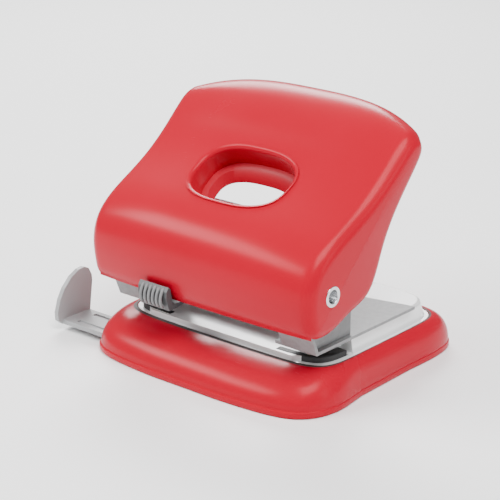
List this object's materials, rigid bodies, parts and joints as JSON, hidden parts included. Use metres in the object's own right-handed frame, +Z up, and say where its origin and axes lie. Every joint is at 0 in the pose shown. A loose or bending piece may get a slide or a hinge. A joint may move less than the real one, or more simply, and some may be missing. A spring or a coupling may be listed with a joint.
{
  "type": "hole punch",
  "caption": "Desk hole punch with a curved lever handle, a finger hole, a sliding paper guide, a lock slider and a pull-off chip tray.",
  "frame": {"origin": "on the table, under the middle of the tray's flat underside", "axes": "+X across the punch, +Y the way the paper goes in, +Z up"},
  "size_m": [0.1379, 0.1086, 0.1029],
  "materials": {
    "red_plastic": "glossy moulded plastic",
    "dark_red_plastic": "satin moulded plastic",
    "grey_plastic": "satin moulded plastic",
    "black_plastic": "matt",
    "rubber": "matt",
    "white_steel": "pale satin coating on pressed steel",
    "grey_paint": "fine textured coating",
    "zinc": "zinc-plated sheet",
    "brass": "machined",
    "spring_steel": "bright wire",
    "tool_steel": "hardened and ground",
    "chrome": "bright nickel"
  },
  "bodies": {
    "tray": {"base_tray": "red_plastic", "anti_slip_pads": "rubber", "guide_rails": "grey_plastic"},
    "guide": {"paper_guide": "grey_plastic"},
    "frame": {"base_plate": "white_steel", "corner_pads": "black_plastic", "upper_plate": "grey_paint", "plate_rivets": "zinc", "bracket_left": "zinc", "bracket_right": "zinc", "bracket_rivets": "zinc", "guide_bush_left": "brass", "guide_bush_right": "brass", "spring_left": "spring_steel", "spring_right": "spring_steel", "lock_catch": "zinc"},
    "pin_left": {"punch_pin_left": "tool_steel", "pin_clip_left": "zinc"},
    "pin_right": {"punch_pin_right": "tool_steel", "pin_clip_right": "zinc"},
    "handle": {"handle_cover": "red_plastic", "handle_liner": "dark_red_plastic", "press_lever": "zinc", "lever_screws": "zinc", "axle": "chrome", "axle_washers": "black_plastic"},
    "lock": {"lock_slider": "grey_plastic"}
  },
  "joints": [
    {"name": "guide_slide", "type": "slide", "parent": "tray", "child": "guide", "axis": [-1, 0, 0], "range_m": [-0.012, 0.068]},
    {"name": "tray_lift", "type": "slide", "parent": "tray", "child": "frame", "axis": [0, 0, 1], "range_m": [0, 0.04]},
    {"name": "handle_hinge", "type": "hinge", "parent": "frame", "child": "handle", "pos_m": [0, -0.0327, 0.0455], "axis": [-1, 0, 0], "range_deg": [0, 32], "stiffness_Nm_per_rad": 0.4, "springref_deg": -34.38},
    {"name": "pin_left_slide", "type": "slide", "parent": "frame", "child": "pin_left", "axis": [0, 0, -1], "range_m": [0, 0.0062], "deforming": ["spring_left"]},
    {"name": "pin_right_slide", "type": "slide", "parent": "frame", "child": "pin_right", "axis": [0, 0, -1], "range_m": [0, 0.0062], "deforming": ["spring_right"]},
    {"name": "lock_slide", "type": "slide", "parent": "handle", "child": "lock", "axis": [-1, 0, 0], "range_m": [0, 0.01]}
  ],
  "couplings": [
    {"joint": "pin_left_slide", "follows": "handle_hinge", "m_per_rad": 0.0107},
    {"joint": "pin_right_slide", "follows": "handle_hinge", "m_per_rad": 0.0107}
  ]
}
